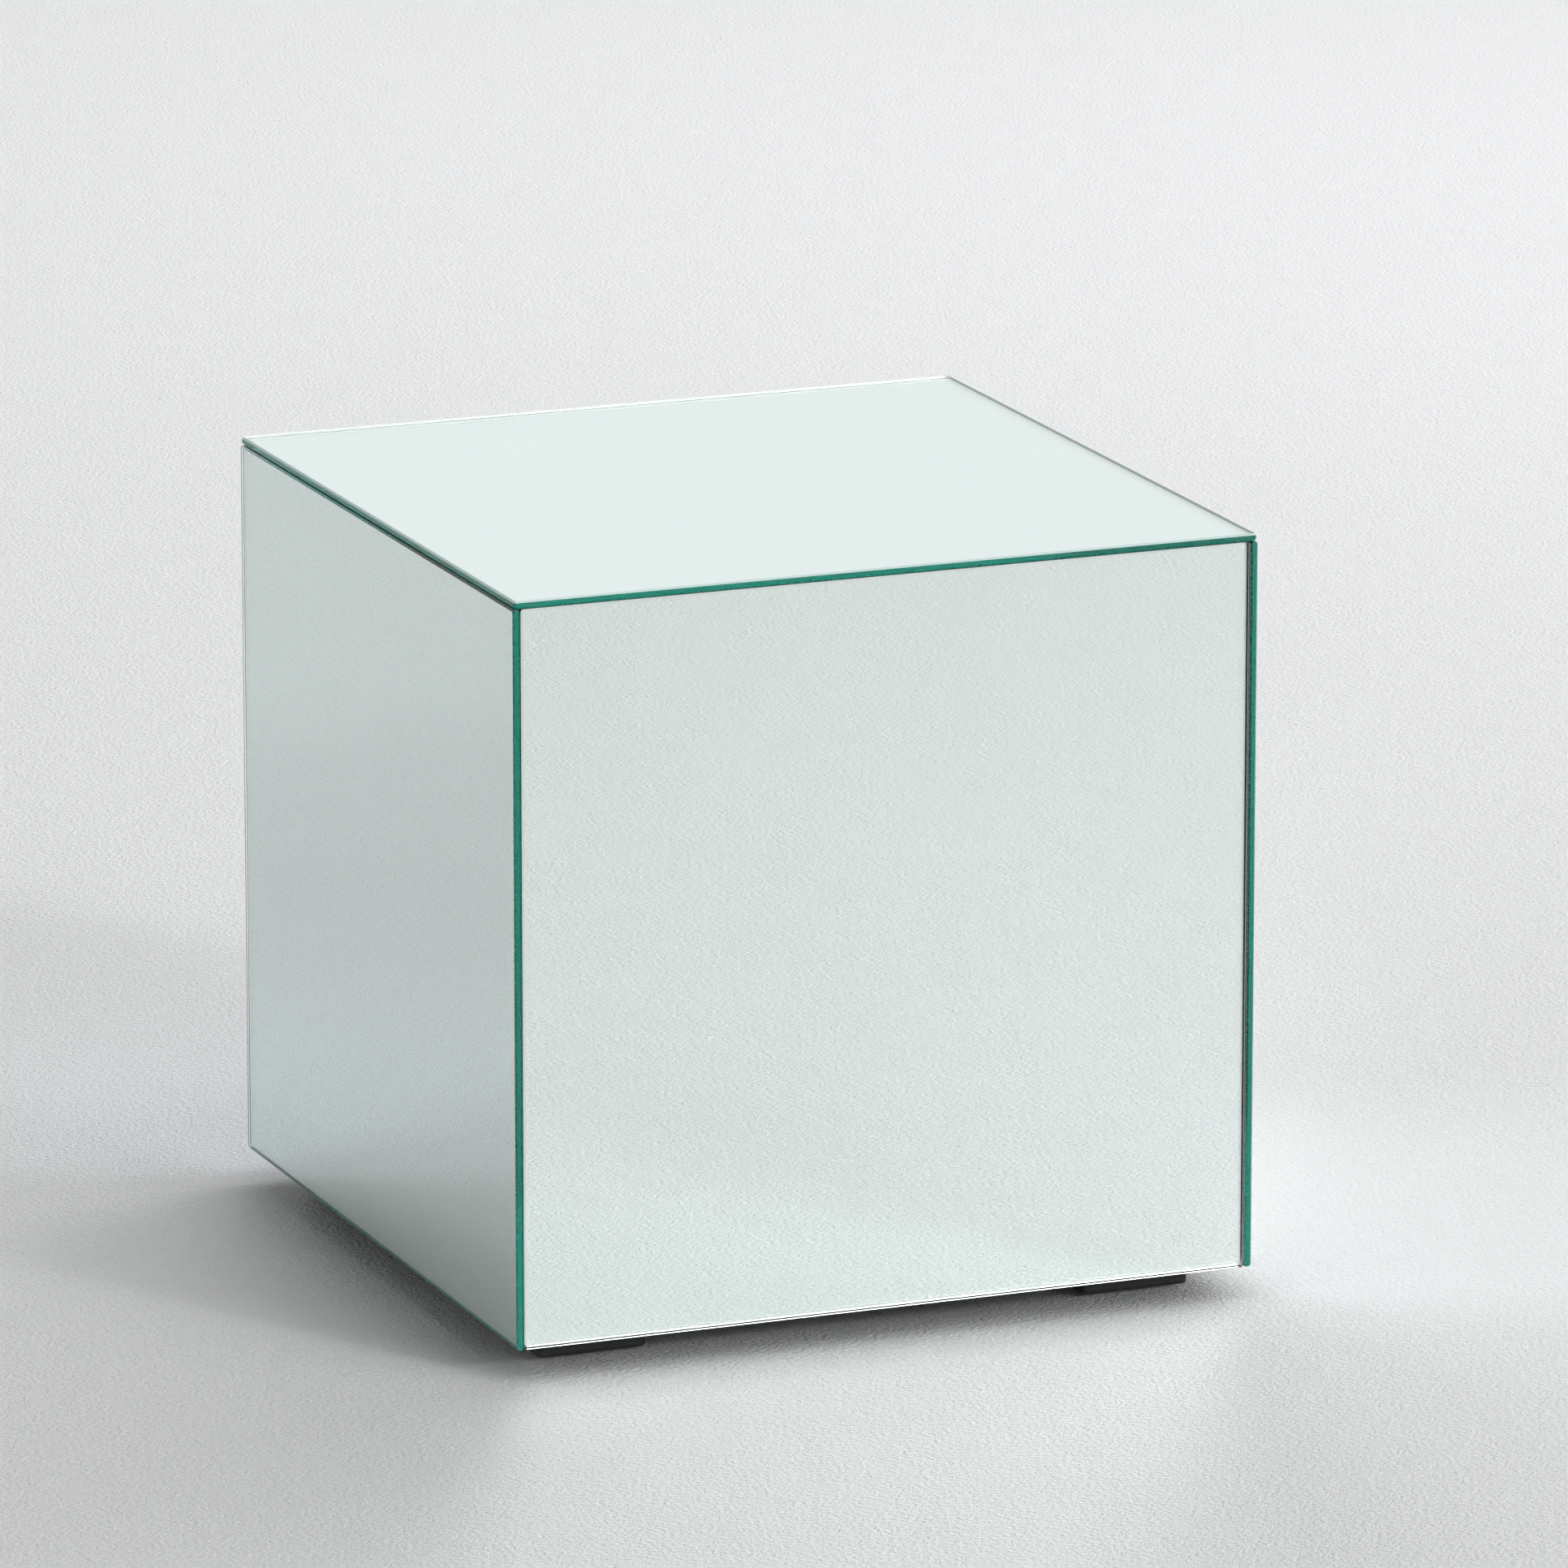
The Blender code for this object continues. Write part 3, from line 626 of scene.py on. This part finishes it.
def makeScrews():
    tree = makeScrewTree()
    names = [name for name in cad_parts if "_screw_" in name]
    for number, node in enumerate(names):
        low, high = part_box(node)
        length = high.z - low.z
        crest = screws["crestRadius"]
        rows = int(length / screws["pitch"] * screws["rowsPerTurn"]) + screws["headRows"]
        mesh = growMesh(tree, node, {
            "Length": length, "Core": crest * screws["coreShare"], "Crest": crest,
            "Pitch": screws["pitch"], "Point": screws["point"],
            "Head Radius": (high.x - low.x) / 2, "Head Rim": screws["headRim"],
            "Recess Reach": screws["recessReach"], "Recess Half Slot": screws["recessHalfSlot"],
            "Recess Depth": screws["recessDepth"], "Steps Around": screws["stepsAround"],
            "Rows": rows, "Finish": finishes["zincSteel"]})
        standUpright(mesh, node, screws["turnEach"] * number)
        faceOutwards(mesh)
        addPiece("threaded_" + node, mesh, [node], screws["smoothUnder"])
    print("screws made:", len(names))


dowels = {
    "flutes": 20,
    "fluteDepth": 0.16 * millimetre,
    "chamfer": 0.7 * millimetre,
    "stepsPerFlute": 5,
    "turnEach": 0.4,
    "smoothUnder": 50.0,
}


def makeDowels():
    tree, size = startTree("flutedDowel", {
        "Length": 0.03, "Radius": 0.003, "Chamfer": 0.0007, "Flute Depth": 0.0002, "Flutes": 20,
        "Steps Per Flute": 5}, ("Finish",))
    around = calc(tree, "MULTIPLY", size["Flutes"], size["Steps Per Flute"])
    grid, angle, row = wrapGrid(tree, around, 6)
    wave = calc(tree, "COSINE", calc(tree, "MULTIPLY", angle, size["Flutes"]))
    groove = calc(tree, "MULTIPLY", between(tree, wave, -1.0, 1.0), size["Flute Depth"])
    body = calc(tree, "SUBTRACT", size["Radius"], groove)
    narrow = calc(tree, "SUBTRACT", size["Radius"], size["Chamfer"])
    shoulder = calc(tree, "SUBTRACT", size["Length"], size["Chamfer"])
    radius = stepped(tree, row, [0.0, narrow, body, body, narrow, 0.0])
    height = stepped(tree, row, [0.0, 0.0, size["Chamfer"], shoulder, size["Length"], size["Length"]])
    endTree(tree, closeWrap(tree, grid, angle, radius, height), size["Finish"])
    names = [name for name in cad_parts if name.startswith("dowel_")]
    for number, node in enumerate(names):
        low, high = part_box(node)
        mesh = growMesh(tree, node, {
            "Length": high.z - low.z, "Radius": (high.x - low.x) / 2, "Chamfer": dowels["chamfer"],
            "Flute Depth": dowels["fluteDepth"], "Flutes": dowels["flutes"],
            "Steps Per Flute": dowels["stepsPerFlute"], "Finish": finishes["beech"]})
        standUpright(mesh, node, dowels["turnEach"] * number)
        faceOutwards(mesh)
        addPiece("fluted_" + node, mesh, [node], dowels["smoothUnder"])
    print("dowels made:", len(names))


feltPads = {
    "roundedRim": 0.35 * millimetre,
    "unevenness": 0.16 * millimetre,
    "stepsAround": 72,
    "fibres": 320,
    "fibreLength": 0.9 * millimetre,
    "fibreRadius": 0.028 * millimetre,
    "fibreLean": (0.7, 0.7, math.pi),  # furthest turn either way about each axis
    "seed": 11,
    "smoothUnder": 50.0,
}


def makeFeltPads():
    tree, size = startTree("feltPad", {
        "Radius": 0.015, "Thickness": 0.0015, "Rim": 0.0004, "Unevenness": 0.00015, "Fibre Length": 0.0009,
        "Fibre Radius": 0.00003, "Fibres": 320, "Seed": 1}, ("Finish",))
    grid, angle, row = wrapGrid(tree, feltPads["stepsAround"], 8)
    around = addNode(tree, "ShaderNodeCombineXYZ", {
        "X": calc(tree, "COSINE", angle), "Y": calc(tree, "SINE", angle), "Z": size["Seed"]}).outputs[0]
    ragged = noiseOf(tree, around, 9.0, 3.0)
    edge = calc(tree, "SUBTRACT", size["Radius"], calc(tree, "MULTIPLY", ragged, size["Unevenness"]))
    edge = calc(tree, "SUBTRACT", edge, size["Rim"])
    full = calc(tree, "ADD", edge, calc(tree, "MULTIPLY", size["Rim"], 0.6))
    inner = calc(tree, "MULTIPLY", edge, 0.6)
    top = size["Thickness"]
    lower = calc(tree, "MULTIPLY", top, 0.3)
    upper = calc(tree, "MULTIPLY", top, 0.7)
    radius = stepped(tree, row, [0.0, inner, edge, full, full, edge, inner, 0.0])
    height = stepped(tree, row, [0.0, 0.0, 0.0, lower, upper, top, top, top])
    body = closeWrap(tree, grid, angle, radius, height)
    upright = addNode(tree, "ShaderNodeSeparateXYZ", {
        "Vector": addNode(tree, "GeometryNodeInputNormal").outputs["Normal"]}).outputs["Z"]
    onRim = calc(tree, "LESS_THAN", calc(tree, "ABSOLUTE", upright), 0.8)
    rimArea = calc(tree, "MULTIPLY", calc(tree, "MULTIPLY", size["Radius"], 2 * math.pi), top)
    spots = addNode(tree, "GeometryNodeDistributePointsOnFaces", {
        "Mesh": body, "Selection": onRim, "Density": calc(tree, "DIVIDE", size["Fibres"], rimArea),
        "Seed": size["Seed"]})
    bow = addNode(tree, "GeometryNodeCurveQuadraticBezier", {
        "Resolution": 4, "Start": (0.0, 0.0, 0.0), "Middle": (0.15, 0.0, 0.45),
        "End": (0.55, 0.0, 0.55)}).outputs[0]
    length = addNode(tree, "ShaderNodeCombineXYZ", {
        "X": size["Fibre Length"], "Y": size["Fibre Length"], "Z": size["Fibre Length"]}).outputs[0]
    bow = addNode(tree, "GeometryNodeTransform", {"Geometry": bow, "Scale": length}).outputs[0]
    ring = addNode(tree, "GeometryNodeCurvePrimitiveCircle", {
        "Resolution": 3, "Radius": size["Fibre Radius"]})
    fibre = addNode(tree, "GeometryNodeCurveToMesh", {
        "Curve": bow, "Profile Curve": ring.outputs["Curve"], "Fill Caps": True}).outputs[0]
    spin = addNode(tree, "FunctionNodeRandomValue", {"Seed": size["Seed"]}, data_type="FLOAT_VECTOR")
    spin.inputs[0].default_value = [-lean for lean in feltPads["fibreLean"]]
    spin.inputs[1].default_value = feltPads["fibreLean"]
    turned = addNode(tree, "FunctionNodeRotateRotation", {
        "Rotation": spots.outputs["Rotation"],
        "Rotate By": spin.outputs[0]}, rotation_space="LOCAL").outputs[0]
    fuzz = addNode(tree, "GeometryNodeInstanceOnPoints", {
        "Points": spots.outputs["Points"], "Instance": fibre, "Rotation": turned}).outputs[0]
    joined = addNode(tree, "GeometryNodeJoinGeometry")
    for part in (body, fuzz):
        tree.links.new(part, joined.inputs[0])
    endTree(tree, joined.outputs[0], size["Finish"])
    for number, (end, side) in enumerate(corners):
        node = f"felt_pad_{end}_{side}"
        low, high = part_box(node)
        mesh = growMesh(tree, node, {
            "Radius": (high.x - low.x) / 2, "Thickness": high.z - low.z, "Rim": feltPads["roundedRim"],
            "Unevenness": feltPads["unevenness"], "Fibre Length": feltPads["fibreLength"],
            "Fibre Radius": feltPads["fibreRadius"], "Fibres": feltPads["fibres"],
            "Seed": feltPads["seed"] + number, "Finish": finishes["felt"]})
        standUpright(mesh, node)
        for vertex in mesh.vertices:  # fibres bend along the floor and the foot
            vertex.co.z = min(max(vertex.co.z, low.z), high.z + 0.1 * millimetre)
        faceOutwards(mesh)
        addPiece("fuzzy_" + node, mesh, [node], feltPads["smoothUnder"])
    print("felt pads made:", len(corners))


makeScrews()
makeDowels()
makeFeltPads()


# ---- CAD nodes that keep their shape and take a better finish

nodeFinishes = {
    "top_board": "fibreboard", "front_wall": "fibreboard", "back_wall": "fibreboard",
    "left_wall": "fibreboard", "right_wall": "fibreboard", "base_board": "blackBoard",
}
for end, side in corners:
    nodeFinishes[f"corner_block_{end}_{side}"] = "pine"
    nodeFinishes[f"foot_{end}_{side}"] = "footPlastic"
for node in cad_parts:
    if node.startswith("tape_"):
        nodeFinishes[node] = "foamTape"
for node, finishName in nodeFinishes.items():
    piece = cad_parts[node]
    for slotItem in piece.material_slots:
        slotItem.material = finishes[finishName]
print("frame nodes finished:", len(nodeFinishes))


# ---- floor, light and camera

floorPaint = {
    "radius": 30.0,
    "tones": (colour(0.832, 0.850, 0.822), colour(0.846, 0.864, 0.836)),
    # darker tone painted into the hollows of the pebble grain: painted shade
    "hollowShadeTone": colour(0.60, 0.61, 0.59),
    "pebbleScale": 340.0,
    "pebbleHeight": 0.0027,
    "waveScale": 30.0,
    "waveHeight": 0.004,
    "roughness": (0.42, 0.60),
}
stage = {
    "keyAzimuth": 29.0, "keyElevation": 21.0, "keyStrength": 0.52, "keyAngle": 5.0,
    "keyDistance": 4.0,
    "sweepAzimuth": 165.0, "rearSweep": 0.905, "frontSweep": 0.30, "overhead": 0.02,
    "rearSweepTop": (0.34, 0.62), "frontSweepTop": (0.20, 0.40),  # sines of elevation
    "coolLight": (1.01, 0.985, 1.07),
    "keyTone": (1.0, 1.0, 1.03),
}
glows = (  # strength, azimuth, elevation, cosines where it ends and is full
    (1.9, 30.0, 50.0, (0.87, 0.98)),
    (6.2, 28.0, 22.0, (0.9816, 0.9877)),
    (0.24, -40.0, 35.0, (0.60, 0.90)),
)
softboxes = {  # azimuth, elevation, distance, size, power, what it points at
    "rearRightLight": (150.0, 58.0, 4.2, 2.4, 36.0, (0.5, 1.6, 0.0)),
    "rearLight": (165.0, 62.0, 4.2, 2.4, 19.0, (0.3, 2.6, 0.0)),
    "rightLight": (115.0, 40.0, 4.0, 2.5, 50.0, (0.3, 0.5, 0.2)),
    "overheadLight": (0.0, 76.0, 2.0, 0.5, 5.5, (0.0, 0.0, 0.4)),
}
cameraSet = {
    "aim": (0.0204, -0.0087, 0.2422), "azimuth": -21.95, "elevation": 14.22, "distance": 6.373,
    "lens": 284.9, "sensor": 36.0, "clip": (0.05, 80.0),
}


def directionFrom(azimuth, elevation):
    a, e = math.radians(azimuth), math.radians(elevation)
    return Vector((math.sin(a) * math.cos(e), -math.cos(a) * math.cos(e), math.sin(e)))


def makeFloor():
    build = bmesh.new()
    bmesh.ops.create_circle(build, cap_ends=True, radius=floorPaint["radius"], segments=96)
    mesh = bpy.data.meshes.new("studioFloor")
    build.to_mesh(mesh)
    build.free()
    floor = bpy.data.objects.new("studioFloor", mesh)
    bpy.context.scene.collection.objects.link(floor)
    finish, tree, shader = startFinish("floorPaint")
    place = ownPlace(tree)
    skewed = ownPlace(tree, (1.0, 1.25, 1.0), (0.0, 0.0, 0.5))
    pebble = noiseOf(tree, skewed, floorPaint["pebbleScale"], 3.0, 0.6, 0.4)
    wave = noiseOf(tree, place, floorPaint["waveScale"], 3.0)
    cloud = noiseOf(tree, place, 1.2, 2.0)
    tone = blendColours(tree, cloud, *floorPaint["tones"])
    # the hollows of the pebble grain are darkened towards the hollow tone: painted shade
    hollowShade = between(tree, pebble, 0.60, 0.35, 0.0, 0.10)
    plug(tree, shader.inputs["Base Color"], blendColours(tree, hollowShade, tone, floorPaint["hollowShadeTone"]))
    plug(tree, shader.inputs["Roughness"], between(tree, pebble, 0.3, 0.7, *floorPaint["roughness"]))
    rolling = bumpOf(tree, wave, 0.25, floorPaint["waveHeight"])
    plug(tree, shader.inputs["Normal"], bumpOf(tree, pebble, 0.85, floorPaint["pebbleHeight"], rolling))
    mesh.materials.append(finish)


def aimAt(name, content, azimuth, elevation, distance, target):
    holder = bpy.data.objects.new(name, content)
    bpy.context.scene.collection.objects.link(holder)
    outward = directionFrom(azimuth, elevation)
    holder.location = Vector(target) + outward * distance
    holder.rotation_mode = "QUATERNION"
    holder.rotation_quaternion = (-outward).to_track_quat("-Z", "Y")


def addSoftbox(name, azimuth, elevation, distance, size, power, target):
    lamp = bpy.data.lights.new(name, "AREA")
    lamp.shape = "DISK"
    lamp.size = size
    lamp.energy = power
    lamp.color = stage["coolLight"]
    aimAt(name, lamp, azimuth, elevation, distance, target)


def facing(tree, ray, azimuth, elevation):
    node = addNode(tree, "ShaderNodeVectorMath", operation="DOT_PRODUCT")
    plug(tree, node.inputs[0], ray)
    node.inputs[1].default_value = directionFrom(azimuth, elevation)
    return node.outputs["Value"]


def makeWorld():
    world = bpy.data.worlds.new("studioAir")
    world.use_nodes = True
    bpy.context.scene.world = world
    tree = world.node_tree
    ray = addNode(tree, "ShaderNodeTexCoord").outputs["Generated"]
    height = addNode(tree, "ShaderNodeSeparateXYZ", {"Vector": ray}).outputs["Z"]
    rear = between(tree, facing(tree, ray, stage["sweepAzimuth"], 0.0), -0.35, 0.35)
    rearLow = calc(tree, "MULTIPLY", rear, between(tree, height, *stage["rearSweepTop"], 1.0, 0.0))
    frontLow = calc(tree, "MULTIPLY", calc(tree, "SUBTRACT", 1.0, rear),
                    between(tree, height, *stage["frontSweepTop"], 1.0, 0.0))
    above = calc(tree, "SUBTRACT", 1.0, calc(tree, "ADD", rearLow, frontLow))
    level = calc(tree, "MULTIPLY", rearLow, stage["rearSweep"])
    for share, strength in ((frontLow, stage["frontSweep"]), (above, stage["overhead"])):
        level = calc(tree, "ADD", level, calc(tree, "MULTIPLY", share, strength))
    for strength, azimuth, elevation, edge in glows:
        share = between(tree, facing(tree, ray, azimuth, elevation), *edge)
        level = calc(tree, "ADD", level, calc(tree, "MULTIPLY", share, strength))
    plug(tree, tree.nodes["Background"].inputs["Strength"], level)
    tree.nodes["Background"].inputs["Color"].default_value = colour(1.0, 1.0, 1.0)


def addKey():
    lamp = bpy.data.lights.new("keyLight", "SUN")
    lamp.energy = stage["keyStrength"]
    lamp.color = stage["keyTone"]
    lamp.angle = math.radians(stage["keyAngle"])
    aimAt("keyLight", lamp, stage["keyAzimuth"], stage["keyElevation"],
          stage["keyDistance"], (0.0, 0.0, 0.0))


def makeCamera():
    data = bpy.data.cameras.new("view")
    data.lens = cameraSet["lens"]
    data.sensor_width = cameraSet["sensor"]
    data.clip_start, data.clip_end = cameraSet["clip"]
    aimAt("view", data, cameraSet["azimuth"], cameraSet["elevation"],
          cameraSet["distance"], cameraSet["aim"])
    bpy.context.scene.camera = bpy.data.objects["view"]


def setRenderLook():
    scene = bpy.context.scene
    scene.view_settings.view_transform = "Standard"
    scene.view_settings.look = "None"
    scene.cycles.max_bounces = 64
    scene.cycles.glossy_bounces = 64
    scene.cycles.transmission_bounces = 64
    scene.cycles.diffuse_bounces = 4
    scene.cycles.use_denoising = True
    scene.cycles.blur_glossy = 0.0


makeFloor()
makeWorld()
addKey()
for name, settings in softboxes.items():
    addSoftbox(name, *settings)
makeCamera()
setRenderLook()
print("stage set")
